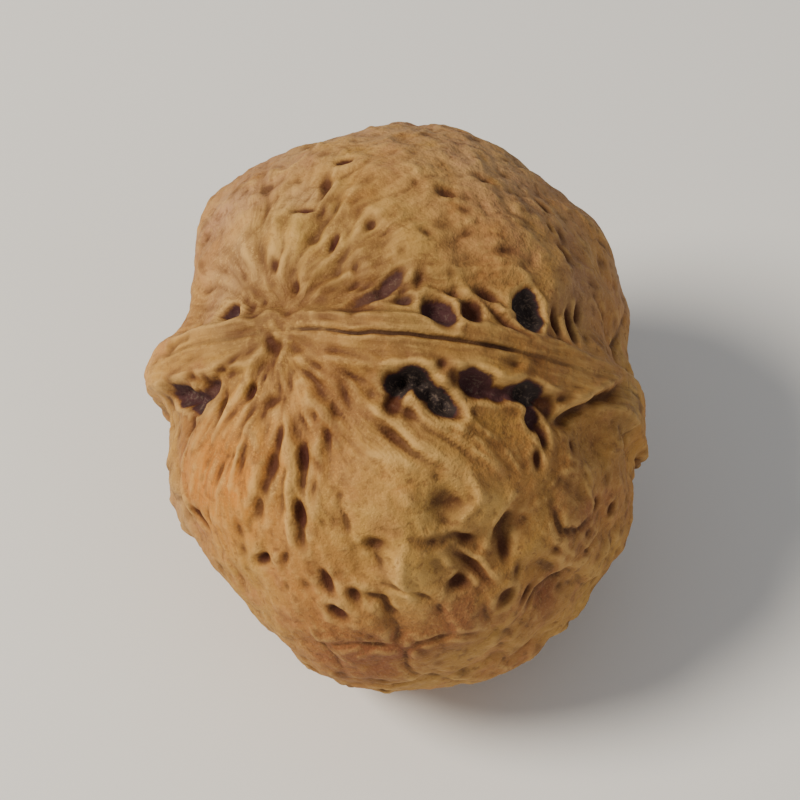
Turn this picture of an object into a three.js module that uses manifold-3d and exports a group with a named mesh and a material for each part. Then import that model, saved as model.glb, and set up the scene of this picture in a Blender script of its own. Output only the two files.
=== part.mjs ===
// A whole walnut in its shell, lying on a small flat spot near its tip.
// Millimetres, +Z up, with the origin on the resting surface, at the middle of the nut's bounding box.
import * as THREE from 'three';
import { mergeVertices } from 'three/addons/utils/BufferGeometryUtils.js';
import Module from 'manifold-3d';

const wasm = await Module();
wasm.setup();

const degree = Math.PI / 180;

// Half sizes of the bare shell: from the middle to a cheek, along the seam's plane, and to an end.
const cheekHalf = 20.5;
const seamHalf = 16.6;
const endHalf = 18.8;

// How the nut lies: the stem end points up and leans, and the nut is turned about its own length.
const stemLean = 31;
const stemHeading = -150;
const turnOnLength = 141;
const flatSpotDepth = 0.85;

// The seam: a raised welt round the nut between two shallow furrows, lowest on one side of the nut.
const weltHeight = 0.7;
const weltHalfWidth = 2.1;
const lowSideAngle = 86;
const lowSideSpread = 40;
const furrowDepth = 0.4;
const furrowOffset = 4.2;
const furrowHalfWidth = 1.9;

// The seam wanders a little: angle round the nut from the stem, and how far it strays towards a cheek.
const seamWander = [
  [-180, 0],
  [-120, 0.4],
  [-58, 0.9],
  [-30, -0.8],
  [-12, -0.9],
  [3, -0.6],
  [17, -1.2],
  [40, -1.0],
  [62, -0.6],
  [84, 0.1],
  [106, 1.2],
  [150, 0.5],
  [180, 0],
];

// The two ends: a drawn-out tip, a slightly flattened stem end, and an ear on the welt beside the stem.
const tipHeight = 1.2;
const tipSpread = 13;
const stemFlattening = 0.7;
const stemSpread = 24;
const earHeight = 0.7;
const earAngle = -59;
const earSpread = 14;
const earHalfWidth = 2.2;

// Broad swellings that make the two cheeks unlike, and dips where the height is negative.
const swellings = [
  { name: 'shoulder beside the stem', around: -44, across: 41, halfWidth: 5.6, height: 1.75 },
  { name: 'flattened side', around: -77, across: -54, halfWidth: 5, height: -3.0 },
  { name: 'dip over the ear', around: -50, across: 18, halfWidth: 3.6, height: -2.4 },
  { name: 'dip under the ear', around: -60, across: -15, halfWidth: 3.6, height: -1.5 },
  { name: 'upper shoulder by the tip', around: 110, across: 42, halfWidth: 6, height: 0.9 },
  { name: 'lower shoulder by the tip', around: 131, across: -22, halfWidth: 6, height: 1.3 },
  { name: 'lower corner', around: 150, across: -58, halfWidth: 6, height: 1.0 },
  { name: 'cheek top', around: 60, across: 72, halfWidth: 7, height: 0.6 },
  { name: 'flattened cheek', around: -178, across: -72, halfWidth: 6, height: -0.5 },
];

// Shallow hollows spread evenly over the shell.
const hollowCount = 74;
const hollowDepth = 0.55;
const hollowRadius = 2.4;

// Deeper pits beside the seam: angle round the nut, angle towards a cheek, half width and depth.
const pits = [
  { name: 'curved pit, near end', around: 25, across: -15, halfWidth: 1.5, depth: 0.9 },
  { name: 'curved pit, far end', around: 35, across: -15, halfWidth: 1.6, depth: 1.0 },
  { name: 'round pit', around: 45, across: -10, halfWidth: 1.3, depth: 0.9 },
  { name: 'ragged pit', around: 58, across: -12, halfWidth: 1.9, depth: 1.0 },
  { name: 'notch under the ear', around: -40, across: -13, halfWidth: 1.9, depth: 1.3 },
  { name: 'notch over the ear', around: -38, across: 12, halfWidth: 2.2, depth: 0.8 },
  { name: 'slanting pit', around: 35, across: 6, halfWidth: 1.2, depth: 0.7 },
  { name: 'oval pit', around: 57, across: 10, halfWidth: 1.5, depth: 0.9 },
  { name: 'end pit', around: 72, across: 11, halfWidth: 1.6, depth: 0.6 },
  { name: 'long slot', around: 6, across: -33, halfWidth: 1.3, depth: 0.6 },
  { name: 'valley', around: 9, across: 22, halfWidth: 1.8, depth: 0.5 },
  { name: 'fold', around: 84, across: -9, halfWidth: 1.7, depth: 0.6 },
];

// The starting cube is divided into rows of squares, drawn closer together along the seam.
const rowsPerFace = 24;
const seamRowSpacing = 0.62; // of the even spacing

const bell = (offset, width) => Math.exp(-((offset / width) ** 2));

// Directions in the nut's own frame: x along the seam's plane, y towards a cheek, z towards the stem.
const stem = new THREE.Vector3(0, 0, 1);
const tip = new THREE.Vector3(0, 0, -1);

// The middles of the hollows, on a spiral that winds from the stem end to the tip.
function hollowSpiral() {
  const goldenTurn = Math.PI * (3 - Math.sqrt(5));
  const middles = [];
  for (let i = 0; i < hollowCount; i += 1) {
    const z = 1 - (2 * (i + 0.5)) / hollowCount;
    const ring = Math.sqrt(1 - z * z);
    const angle = i * goldenTurn + 0.35 * Math.sin(2.4 * i);
    const swell = 1 + 0.32 * Math.sin(1.7 * i);
    const direction = new THREE.Vector3(ring * Math.cos(angle), ring * Math.sin(angle), z);
    middles.push({ direction, radius: hollowRadius * swell, depth: hollowDepth / swell });
  }
  return middles;
}

const hollows = hollowSpiral();

// A direction from the angle round the nut along its seam and the angle from the seam to a cheek.
function seamDirection(around, across) {
  const level = Math.cos(across * degree);
  return new THREE.Vector3(
    level * Math.sin(around * degree),
    Math.sin(across * degree),
    level * Math.cos(around * degree),
  );
}

const pitDirections = pits.map((pit) => seamDirection(pit.around, pit.across));
const swellingDirections = swellings.map((swelling) => seamDirection(swelling.around, swelling.across));

// The seam's stray at an angle round the nut, eased from each stated place to the next.
function strayAt(around) {
  const next = Math.max(1, seamWander.findIndex(([angle]) => angle >= around));
  const [startAngle, start] = seamWander[next - 1];
  const [endAngle, end] = seamWander[next];
  const eased = THREE.MathUtils.smoothstep(around, startAngle, endAngle);
  return THREE.MathUtils.lerp(start, end, eased);
}

// How far a direction is from the seam's line, in millimetres towards a cheek.
function seamOffset(direction, radius) {
  return radius * direction.y - strayAt(Math.atan2(direction.x, direction.z) / degree);
}

function bareRadius(direction) {
  return 1 / Math.hypot(direction.x / seamHalf, direction.y / cheekHalf, direction.z / endHalf);
}

// How far the welt and its furrows stand out from the bare shell.
function seamRelief(direction, radius) {
  const offset = seamOffset(direction, radius);
  const aroundSeam = Math.atan2(direction.x, direction.z) / degree;
  const welt = weltHeight * (1 - 0.7 * bell(aroundSeam - lowSideAngle, lowSideSpread));
  const furrows = furrowDepth * bell(Math.abs(offset) - furrowOffset, furrowHalfWidth);
  const ear = earHeight * bell(aroundSeam - earAngle, earSpread) * bell(offset, earHalfWidth);
  return welt * bell(offset, weltHalfWidth) - furrows + ear;
}

function endRelief(direction) {
  const fromTip = direction.angleTo(tip) / degree;
  const fromStem = direction.angleTo(stem) / degree;
  return tipHeight * bell(fromTip, tipSpread) - stemFlattening * bell(fromStem, stemSpread);
}

function hollowRelief(direction, radius) {
  let relief = 0;
  for (const hollow of hollows) {
    relief -= hollow.depth * bell(radius * direction.angleTo(hollow.direction), hollow.radius);
  }
  return relief * (1 - bell(seamOffset(direction, radius), weltHalfWidth * 1.3));
}

function pitRelief(direction, radius) {
  return pits.reduce((relief, pit, i) => {
    const away = radius * direction.angleTo(pitDirections[i]);
    return relief - pit.depth * bell(away, pit.halfWidth);
  }, 0);
}

function swellingRelief(direction, radius) {
  return swellings.reduce((relief, swelling, i) => {
    const away = radius * direction.angleTo(swellingDirections[i]);
    return relief + swelling.height * bell(away, swelling.halfWidth);
  }, 0);
}

function shellRadius(direction) {
  const radius = bareRadius(direction);
  const ends = endRelief(direction) + seamRelief(direction, radius);
  const dents = hollowRelief(direction, radius) + pitRelief(direction, radius);
  return radius + ends + swellingRelief(direction, radius) + dents;
}

function joinedBox(side, rows) {
  const box = new THREE.BoxGeometry(side, side, side, rows, rows, rows);
  box.deleteAttribute('normal');
  box.deleteAttribute('uv');
  return mergeVertices(box, 1e-5);
}

// The closed shell in the nut's own frame: a cube of small squares blown up to the shell.
function shellGeometry() {
  const shell = joinedBox(2, rowsPerFace);
  const places = shell.getAttribute('position');
  const evenOut = (along) => Math.tan((along * Math.PI) / 4);
  const point = new THREE.Vector3();
  for (let i = 0; i < places.count; i += 1) {
    point.fromBufferAttribute(places, i);
    point.y *= seamRowSpacing + (1 - seamRowSpacing) * point.y ** 2;
    point.set(evenOut(point.x), evenOut(point.y), evenOut(point.z)).normalize();
    point.multiplyScalar(shellRadius(point));
    places.setXYZ(i, point.x, point.y, point.z);
  }
  return shell;
}

// Turns the nut from its own frame to the way it lies.
function lyingMatrix() {
  const frame = new THREE.Object3D();
  frame.rotateZ(stemHeading * degree);
  frame.rotateY(stemLean * degree);
  frame.rotateZ(turnOnLength * degree);
  frame.updateMatrix();
  return frame.matrix;
}

function toSolid(geometry) {
  const solidMesh = new wasm.Mesh({
    numProp: 3,
    vertProperties: geometry.getAttribute('position').array,
    triVerts: new Uint32Array(geometry.index.array),
  });
  return new wasm.Manifold(solidMesh);
}

function toGeometry(solid) {
  const { vertProperties, triVerts } = solid.getMesh();
  const geometry = new THREE.BufferGeometry();
  geometry.setAttribute('position', new THREE.BufferAttribute(vertProperties, 3));
  geometry.setIndex(new THREE.BufferAttribute(triVerts, 1));
  return geometry;
}

// Cuts the flat spot and sets the nut down on it, with the origin under the middle of its box.
function setDown(lying) {
  lying.computeBoundingBox();
  const middle = lying.boundingBox.getCenter(new THREE.Vector3());
  const floor = lying.boundingBox.min.z + flatSpotDepth;
  const side = 4 * cheekHalf;
  const above = joinedBox(side, 1).translate(middle.x, middle.y, floor + side / 2);
  const cut = toGeometry(toSolid(lying).intersect(toSolid(above)));
  return cut.translate(-middle.x, -middle.y, -floor);
}

const walnut = new THREE.Group();
const shell = new THREE.Mesh(
  setDown(shellGeometry().applyMatrix4(lyingMatrix())),
  new THREE.MeshStandardMaterial({ color: 0xb5874f, roughness: 0.7, metalness: 0 }),
);
shell.name = 'walnut';
shell.geometry.computeVertexNormals();
walnut.add(shell);

export default walnut;
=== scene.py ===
import itertools
import math

import bpy
import numpy as np
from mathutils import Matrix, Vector


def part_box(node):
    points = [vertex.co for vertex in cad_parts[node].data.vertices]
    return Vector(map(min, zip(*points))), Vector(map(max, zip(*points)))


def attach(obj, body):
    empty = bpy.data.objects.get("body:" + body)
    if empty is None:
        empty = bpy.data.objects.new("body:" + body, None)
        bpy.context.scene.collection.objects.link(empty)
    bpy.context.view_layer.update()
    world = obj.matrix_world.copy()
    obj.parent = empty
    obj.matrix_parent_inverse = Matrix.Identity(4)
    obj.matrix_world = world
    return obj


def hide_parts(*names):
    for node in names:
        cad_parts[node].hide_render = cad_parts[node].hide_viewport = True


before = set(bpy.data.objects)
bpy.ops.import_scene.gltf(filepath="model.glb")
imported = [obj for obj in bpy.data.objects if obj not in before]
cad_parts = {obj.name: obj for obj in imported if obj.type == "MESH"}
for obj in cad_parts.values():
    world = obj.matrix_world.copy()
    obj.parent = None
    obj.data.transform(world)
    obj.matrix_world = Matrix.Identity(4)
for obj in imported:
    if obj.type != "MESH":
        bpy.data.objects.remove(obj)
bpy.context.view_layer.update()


def bell(offset, width):
    return np.exp(-((offset / width) ** 2))


def smoothStep(low, high, value):
    t = np.clip((value - low) / (high - low), 0, 1)
    return t * t * (3 - 2 * t)


def unit(vectors):
    return vectors / np.linalg.norm(vectors, axis=-1, keepdims=True)


# a direction from the angle round the seam, counted from the stem end, and the angle towards a cheek
def seamDirection(around, across):
    around, across = np.radians(around), np.radians(across)
    level = np.cos(across)
    return np.stack([level * np.sin(around), np.sin(across), level * np.cos(around)], axis=-1)


class GridHash:    # repeatable random rows for whole-number places of a grid
    def __init__(self, seed, width=3):
        draws = np.random.default_rng(seed)
        self.order = draws.permutation(256)
        self.rows = draws.uniform(-1, 1, (256, width))

    def at(self, cells):
        x, y, z = (cells[:, axis] & 255 for axis in range(3))
        return self.rows[self.order[(self.order[(self.order[x] + y) & 255] + z) & 255]]


# gradient noise, about -1 to 1, with one hump or hollow to a unit
def noise(points, seed):
    slopes = GridHash(seed)
    corner = np.floor(points).astype(int)
    inside = points - corner
    ease = inside ** 3 * (inside * (inside * 6 - 15) + 10)
    total = np.zeros(len(points))
    for step in itertools.product((0, 1), repeat=3):
        share = np.prod(np.where(np.array(step) == 1, ease, 1 - ease), axis=1)
        total += share * np.sum(slopes.at(corner + step) * (inside - step), axis=1)
    return 1.6 * total    # stretched to about -1 to 1


def layeredNoise(points, seed, layers):
    total = sum(noise(points * 2 ** i, seed + i) / 2 ** i for i in range(layers))
    return total / (2 - 2 ** (1 - layers))


# scattered points, one to a grid cell: distances to the two nearest, and the nearest one's own number
def scatteredCells(points, seed):
    scatter = GridHash(seed, 4)
    corner = np.floor(points).astype(int)
    nearest = np.full(len(points), np.inf)
    second = nearest.copy()
    choice = np.zeros(len(points))
    for step in itertools.product((-1, 0, 1), repeat=3):
        cell = corner + step
        row = scatter.at(cell)
        away = np.linalg.norm(cell + 0.5 + 0.45 * row[:, :3] - points, axis=1)
        second = np.minimum(second, np.maximum(nearest, away))
        choice = np.where(away < nearest, row[:, 3], choice)
        nearest = np.minimum(nearest, away)
    return nearest, second, choice


shellForm = dict(
    # millimetres and degrees; a list of noises gives each one's strength, size and seed
    cheekHalf=20.5, seamHalf=16.6, endHalf=18.8,          # half sizes of the bare shell
    meanRadius=18,                                        # turns an angle into a length over the shell
    stemLean=31, stemHeading=-150, turnOnLength=141,      # how the nut lies
    rowsPerFace=128, seamRowSpacing=0.62,                 # squares to a face, closer together by the seam
    # the welt along the seam, with an up side and a down side, and the furrows beside it
    weltHeight=0.70, weltUp=1.25, weltDown=1.95, weltEdge=0.15, weltShoulder=0.75,
    weltSwell=[(0.35, 4.5, 44)], weltReachSwell=[(0.18, 3.0, 5)],
    weltFibres=0.10, weltFibreWidth=0.45, weltFibreLength=5,
    lipHeight=0.12, lipWidth=0.35,
    furrowDepth=0.45, furrowOffset=4.0, furrowWidth=1.6,
    weltLowAngle=92, weltLowSpread=24, weltLowering=0.5,  # where the welt is lowest
    weltStemSpread=11, weltStemLowering=0.45,             # how it breaks up at the stem end
    weltFraySpread=14, weltFray=[(0.45, 1.5, 6)],
    weltFading=0.8, weltFadingAngle=8, weltFadingSpread=16, weltFadingSide=(0.4, -1.4),
    # the crack in the middle of the welt
    crackDepth=0.42, crackWidth=0.17, crackUsual=0.85, crackLeast=0.2, crackClear=0.3,
    crackBreaks=[(0.4, 2.5, 15)], crackWobble=[(0.10, 1.8, 16)],
    crackLipHeight=0.06, crackLipOffset=0.42, crackLipWidth=0.22,
    # the two ends and the ear
    tipHeight=1.2, tipSpread=13, tipPointHeight=0.9, tipPointSpread=4.5,
    stemFlattening=0.7, stemSpread=24, scarPlace=(1, -2), scarSpread=3.3, scarRelief=0.42, scarGrain=1.3,
    earHeight=1.0, earAngle=-57, earSpread=13, earWidth=2.3, earKnobs=[(0.2, 2.2, 8)],
    # lumps, the net of furrows and veins, and dimples, and how far they keep off the welt and the ear
    lumpHeight=0.48, lumpSize=5.5, lumpsOffWelt=0.85, knobHeight=0.15, knobSize=1.9, linesOffWelt=0.9,
    netDepth=0.26, netWidth=0.22, veinHeight=0.16, veinWidth=0.16, netCell=(4.4, 4.4, 6.5),
    netStart=(18, 45), netPatchSize=7.0, leatherSize=8.0, leatherStart=(0, 25),
    dimpleDepth=0.12, dimpleCells=[(1.9, 57), (1.15, 58)],
    warpReach=1.4, warpSize=5.0, warpSeed=51,             # how the lumps and the net are bent
    # fibres that fan out from the stem: widths and lengths, and how far round each end they reach
    ropeHeight=0.22, ropeSize=(2.6, 11.0), strandHeight=0.17, strandSize=(1.25, 7.0),
    threadHeight=0.095, threadSize=(0.6, 4.5), gritHeight=0.06, gritSize=0.7,
    fanLeast=0.22, fanFromStem=14, fanStemSpread=27, fanTipSpread=36, fanStart=(1, 7),
    creaseWidth=0.24, upperCalm=0.5, upperStart=(-2, 8),
    fibreStray=[(1.0, 5.0, 61), (0.25, 2.2, 62)],
    # how pits, grooves and strands are cut
    fray=[(0.75, 1.8, 41), (0.55, 1.0, 42)], pitFraying=0.28, grooveWobble=0.22, strandWobble=0.09,
    pitDeepening=1.1, pitWall=0.34, pitSlope=0.6, pitFloorWaves=0.22,
    pitRim=0.16, pitRimOffset=0.4, pitRimWidth=0.28,
    # the last of these is how far the painted shade along a groove spreads, as a share of its half width
    lineTaper=0.22, lineEnds=0.25, lineDarkeningWidth=0.7,
    closeRounds=7, wideRounds=60,                         # how far round hollows are measured
    # the seam's stray towards a cheek, in millimetres, at angles round the nut
    seamStray=[(-180, 0), (-120, 0.4), (-58, 0.9), (-30, -0.8), (-12, -0.9), (3, -0.6), (17, -1.2),
               (40, -1.0), (62, -0.6), (84, 0.1), (106, 1.2), (150, 0.5), (180, 0)],
    # how open the crack in the middle of the seam is, at angles round the nut
    crackOpen=[(-180, 0.7), (-150, 0.2), (-120, 0.8), (-75, 0.4), (-45, 0.05), (-24, 0.30), (-9, 0.25),
               (2, 0.10), (7, 0.65), (18, 1), (50, 1), (62, 0.5), (72, 0.2), (90, 0.15), (112, 0.7),
               (140, 0.4), (180, 0.7)],
    # broad swellings and hollows: around, across, half width, height
    swellings=[
        (-44, 41, 5.6, 1.75),       # shoulder beside the stem
        (-77, -54, 5.0, -3.00),     # flattened side
        (-50, 18, 3.6, -2.40),      # dip over the ear
        (-60, -15, 3.6, -1.50),     # dip under the ear
        (110, 42, 6.0, 0.90),       # shoulders by the tip
        (131, -22, 6.0, 1.30),
        (150, -58, 6.0, 1.00),
        (60, 72, 7.0, 0.60),        # the cheeks' tops
        (-178, -72, 6.0, -0.50),
        (178, -68, 5.0, -0.70),
        (-14, -30, 4.4, 0.70),      # smooth cheek bulge
        (33, -33, 4.2, 0.60),
        (54, -37, 1.9, 0.45),
        (94, -9, 2.4, 0.75),        # lump behind the fold
        (83, -12, 2.3, -0.80),      # hollow under the fold
        (97, 46, 2.8, 0.60),
        (-3, 19, 4.0, 0.50),
        (27, 34, 5.5, 0.45),
        (60, 26, 4.5, 0.35),
        (41, -37, 1.9, -0.95),
        (3, 30, 2.4, -0.60),        # scoop under the upper rim
        (75, -24, 3.0, 0.40),
        (88, -40, 3.2, 0.55),
        (66, -56, 3.4, 0.50),
        (35, -49, 1.9, 0.40),
        (12, -62, 4.2, 0.55),
        (-27, -30, 2.2, 0.30),
        (61, -41, 1.6, -0.90),
        (53, -50, 2.0, -0.80),
        (43, -30, 1.6, 0.35),
        (80, -47, 1.9, -0.45),
        (97, -50, 2.0, -0.50),
        (40, 21, 2.0, -0.30),
        (0, -1, 2.6, -0.25),        # stem scar
        (-38, -4.5, 2.2, 0.55),     # the ear's round lobe
    ],
    # pits: around, across, length, width, turn from the seam's direction, depth, how dark, and
    # the floor's hue, from 0 for brown, through purple, to 1 for black
    pits=[
        # above the seam
        (20, 5.6, 2.9, 1.1, 33, 0.30, 0.78, 0.50),
        (24, 9.0, 2.6, 1.2, 48, 0.30, 0.85, 0.52),
        (22.5, 5.4, 1.6, 0.6, 30, 0.25, 0.80, 0.45),
        (18.5, 8.0, 1.5, 0.5, 40, 0.20, 0.60, 0.25),
        (26.6, 7.4, 1.1, 0.6, 50, 0.25, 0.70, 0.30),
        (18, 1.8, 2.2, 0.5, 8, 0.20, 0.60, 0.05),
        (27, 5.2, 1.6, 0.9, 12, 0.30, 0.75, 0.50),
        (34.5, 3, 2.8, 2.1, -28, 0.85, 1.00, 0.50),
        (42, 4.4, 1.8, 1.9, 0, 0.60, 0.95, 0.22),
        (46, 10.3, 2.0, 1.0, -12, 0.45, 0.80, 0.10),
        (37.5, 8.5, 1.3, 0.6, -10, 0.25, 0.55, 0.05),
        (56.7, 9.3, 2.9, 3.5, 0, 0.80, 1.00, 0.92),
        (50, 4.5, 3.0, 0.45, -32, 0.30, 0.70, 0.20),
        (65.5, 9.5, 0.7, 2.2, 12, 0.50, 0.90, 0.20),
        (71, 11.0, 0.9, 2.7, 6, 0.55, 0.95, 0.20),
        (74.5, 15, 0.7, 1.5, 0, 0.35, 0.75, 0.10),
        (30, 11, 0.5, 1.4, -15, 0.25, 0.60, 0.05),
        (38, 9, 0.5, 0.9, 10, 0.25, 0.55, 0.05),
        (-12.8, 4.4, 1.6, 1.3, 15, 0.50, 1.00, 0.65),
        (-2.5, 13, 0.6, 1.0, 10, 0.35, 0.85, 0.10),
        (3, 8, 0.6, 1.2, 15, 0.35, 0.85, 0.10),
        (-4, 5, 0.5, 0.8, 20, 0.25, 0.60, 0.10),
        (-7, 4, 0.6, 0.9, 30, 0.25, 0.60, 0.10),
        (16, 8.5, 1.3, 0.7, 40, 0.25, 0.50, 0.05),
        (16, 12, 0.6, 1.1, 10, 0.25, 0.50, 0.05),
        (1.5, 27, 1.6, 0.7, -8, 0.45, 1.00, 0.22),
        (6.2, 26, 0.5, 1.3, -10, 0.35, 0.80, 0.15),
        (4.6, 34.5, 0.8, 2.2, 14, 0.40, 0.75, 0.12),
        (7.3, 41.5, 1.2, 0.9, 15, 0.45, 1.00, 0.20),
        (10.5, 18, 0.6, 1.4, -15, 0.45, 1.00, 0.18),
        (18.5, 21.5, 0.8, 1.0, -20, 0.28, 0.70, 0.05),
        (35.2, 34, 1.6, 1.0, 0, 0.35, 0.60, 0.05),
        (31, 21.5, 0.9, 0.8, 0, 0.20, 0.40, 0.05),
        (47, 42, 1.4, 0.8, -20, 0.30, 0.50, 0.05),
        (68, 42, 0.8, 1.3, 30, 0.35, 0.70, 0.10),
        (50, 22, 1.7, 0.6, 18, 0.25, 0.55, 0.05),
        (70, 28, 0.8, 1.8, 20, 0.35, 0.60, 0.05),
        (40, 30, 0.8, 0.7, 0, 0.20, 0.40, 0.05),
        (71, 34, 0.6, 0.9, 0, 0.20, 0.45, 0.05),
        # round the stem and under the ear
        (-1.2, -4.6, 0.9, 1.5, 15, 0.40, 0.80, 0.08),
        (0.6, -5.8, 0.9, 1.2, -25, 0.35, 0.70, 0.08),
        (5, -6.5, 1.2, 0.7, 0, 0.15, 0.30, 0.05),
        (-9, 6.5, 0.5, 1.0, 30, 0.25, 0.55, 0.10),
        (-5, 1.6, 1.2, 0.5, 10, 0.25, 0.55, 0.10),
        (2.5, 1.2, 0.9, 0.5, -10, 0.25, 0.50, 0.05),
        (-8, -1.5, 1.6, 0.4, 12, 0.20, 0.45, 0.05),
        # their dark purple floors are painted shade of the hollow beneath the ear's lobe, over pits that the
        # relief cuts as well
        (-28.5, -11.4, 2.8, 1.7, -12, 0.75, 1.00, 0.68),
        (-23.5, -14, 2.8, 1.6, -28, 0.70, 1.00, 0.72),
        (-17.5, -12.4, 2.6, 1.3, 22, 0.50, 0.85, 0.50),
        (-13.8, -16.2, 0.7, 1.7, -15, 0.40, 0.65, 0.30),
        (-25.2, -18.4, 0.7, 1.5, -15, 0.45, 0.75, 0.30),
        (-6.2, -14.4, 0.8, 1.3, -20, 0.50, 1.00, 0.25),
        (-1, -17.2, 1.5, 0.8, 25, 0.35, 0.65, 0.10),
        (-2.5, -19.5, 0.6, 1.1, -10, 0.30, 0.60, 0.10),
        # slots that fan out below the stem
        (1.4, -25, 0.7, 2.0, -12, 0.40, 0.90, 0.08),
        (-0.7, -30, 0.8, 1.9, -10, 0.42, 0.85, 0.08),
        (-2.8, -33.5, 0.7, 1.4, -12, 0.35, 0.75, 0.10),
        (-5.5, -36.8, 0.6, 1.3, -16, 0.30, 0.55, 0.05),
        (7.1, -28.8, 0.8, 2.2, 0, 0.60, 1.00, 0.22),
        (6.8, -33.4, 0.6, 1.6, 0, 0.35, 0.75, 0.15),
        (5.2, -39.8, 0.8, 2.5, 0, 0.60, 1.00, 0.18),
        (4.7, -44.5, 0.6, 1.3, 0, 0.30, 0.60, 0.10),
        (-2.1, -48.1, 0.5, 1.2, -35, 0.30, 0.65, 0.05),
        (-10.6, -48.3, 1.2, 0.8, 20, 0.40, 0.95, 0.15),
        (12.8, -24.9, 0.55, 1.6, 8, 0.35, 0.90, 0.05),
        (16, -16, 0.5, 1.6, 25, 0.28, 0.75, 0.05),
        (14, -20, 0.42, 1.4, 15, 0.28, 0.75, 0.05),
        (10, -21, 0.40, 1.2, 10, 0.25, 0.60, 0.05),
        (5, -23, 0.42, 1.3, 10, 0.25, 0.65, 0.05),
        (9.5, -34.5, 0.5, 1.2, 0, 0.20, 0.45, 0.05),
        (-33, -32, 0.5, 0.8, 0, 0.30, 0.70, 0.10),
        (-29.5, -37.5, 0.7, 2.4, 22, 0.40, 0.95, 0.12),
        (9.5, -53.3, 0.8, 1.9, 15, 0.45, 0.90, 0.10),
        (18, -56.5, 0.8, 1.3, 30, 0.35, 0.75, 0.05),
        (11, -60, 0.9, 1.5, 40, 0.45, 0.90, 0.15),
        (24.4, -45.9, 1.6, 0.8, 10, 0.25, 0.50, 0.05),
        # below the seam
        (27, -13.6, 1.9, 1.9, 0, 0.85, 1.00, 1.00),
        (30, -11.8, 2.8, 1.6, 5, 0.85, 1.00, 1.00),
        (33.3, -13.9, 1.9, 1.6, -40, 0.80, 1.00, 1.00),
        (37, -16.4, 3.1, 1.8, -32, 0.90, 1.00, 1.00),
        (26.5, -17.5, 1.3, 1.6, 0, 0.45, 0.85, 0.15),
        (30, -19.3, 1.0, 0.8, -30, 0.30, 0.60, 0.05),
        (27, -24.5, 1.7, 0.5, -32, 0.35, 0.75, 0.05),
        (36.0, -8.5, 0.9, 0.8, 0, 0.30, 0.70, 0.05),
        (38.5, -10, 0.5, 1.0, 25, 0.25, 0.60, 0.05),
        (44.3, -11, 2.8, 1.8, -18, 0.75, 1.00, 0.60),
        (50, -12.4, 1.8, 1.1, -10, 0.60, 1.00, 0.60),
        (54.3, -11.2, 2.0, 1.2, 0, 0.50, 1.00, 0.65),
        (58.5, -10.6, 2.9, 1.6, -10, 0.80, 1.00, 0.90),
        (64, -11.6, 2.0, 1.3, -12, 0.60, 0.80, 0.25),
        (60.8, -15.2, 1.3, 2.2, 22, 0.70, 1.00, 0.55),
        (64.3, -18.6, 0.8, 1.7, 22, 0.50, 0.95, 0.25),
        (63.9, -23.6, 0.7, 1.4, 22, 0.40, 0.90, 0.05),
        (50.5, -44, 1.2, 0.7, -6, 0.25, 0.70, 0.05),
        (56, -49.3, 3.2, 0.6, -20, 0.30, 0.65, 0.05),
        (53, -53.2, 1.7, 0.9, 14, 0.30, 0.82, 0.12),
        (65.5, -45, 0.8, 1.3, 30, 0.30, 0.70, 0.05),
        (72, -47.5, 0.6, 1.0, 25, 0.25, 0.50, 0.05),
        (40, -45, 1.7, 0.7, 0, 0.25, 0.50, 0.02),
        (82, -40.3, 0.8, 0.5, 0, 0.25, 0.65, 0.05),
        (73, -53, 1.0, 1.3, 0, 0.35, 0.55, 0.05),
        (84, -51.3, 0.7, 1.2, 0, 0.30, 0.60, 0.05),
        (92, -27, 0.8, 0.8, 0, 0.35, 0.75, 0.05),
        (93, -33.5, 0.9, 0.6, 20, 0.25, 0.60, 0.05),
        (102, -25, 0.8, 1.1, 0, 0.35, 0.65, 0.05),
        (75, -18, 0.6, 0.8, 0, 0.25, 0.60, 0.05),
    ],
    # narrow grooves (height below 0) and raised strands: places on the way, half width, height, and how dark
    # the painted shade along a groove is
    lines=[
        ([(10.8, 32.5), (9, 26), (6.5, 22), (5, 17)], 0.42, -0.42, 0.50),
        ([(-20, 45), (-15, 37), (-10, 28), (-7.5, 20), (-4, 10)], 0.60, -0.34, 0.30),
        ([(13, 24), (14, 16), (11, 9)], 0.40, -0.24, 0.20),
        ([(109, 27), (98, 15), (92, 9)], 0.45, -0.40, 0.60),
        ([(24, -45), (27, -50), (29, -54)], 0.40, -0.34, 0.45),
        ([(14, -34), (17, -43), (20, -51)], 0.30, -0.26, 0.35),
        ([(21, -55), (28, -58), (36, -62)], 0.35, -0.38, 0.55),
        ([(67, -14.5), (73, -12), (79, -7), (86, -2), (92, 1)], 0.55, -0.85, 0.60),
        ([(63, -13.2), (70, -9.6), (78, -4), (85, 1.0), (92, 4)], 0.50, 0.55, 0),
        ([(92, -7), (101, -8.5), (112, -8)], 0.50, -0.50, 0.35),
        ([(73, -32), (80, -36), (86, -34.5), (92, -30)], 0.35, -0.40, 0.65),
        ([(97, -43), (91, -49), (88, -55)], 0.50, -0.45, 0.60),
        ([(24, -13), (29, -17), (36, -20.5), (48, -25.5), (57, -30)], 0.24, 0.30, 0),
        ([(22, -18), (28, -22.5), (35, -26)], 0.24, 0.28, 0),
        ([(33, -14.6), (40, -20), (47, -23), (57, -29)], 0.24, 0.24, 0),
        ([(40, -15.5), (46, -19.5), (55, -24), (62, -29)], 0.24, 0.20, 0),
        ([(60, -30), (57, -39), (59, -47)], 0.42, 0.34, 0),
        ([(17, -9), (22, -11), (27, -17)], 0.28, 0.20, 0),
        ([(25, -22), (31, -26.5), (38, -29)], 0.35, -0.30, 0.30),
        ([(46, -30), (50, -34), (46, -41)], 0.35, 0.34, 0),
        ([(44, -47), (50, -51), (46, -58)], 0.35, 0.36, 0),
        ([(49, -46.6), (58, -47.5), (66, -51)], 0.25, 0.34, 0),
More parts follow.
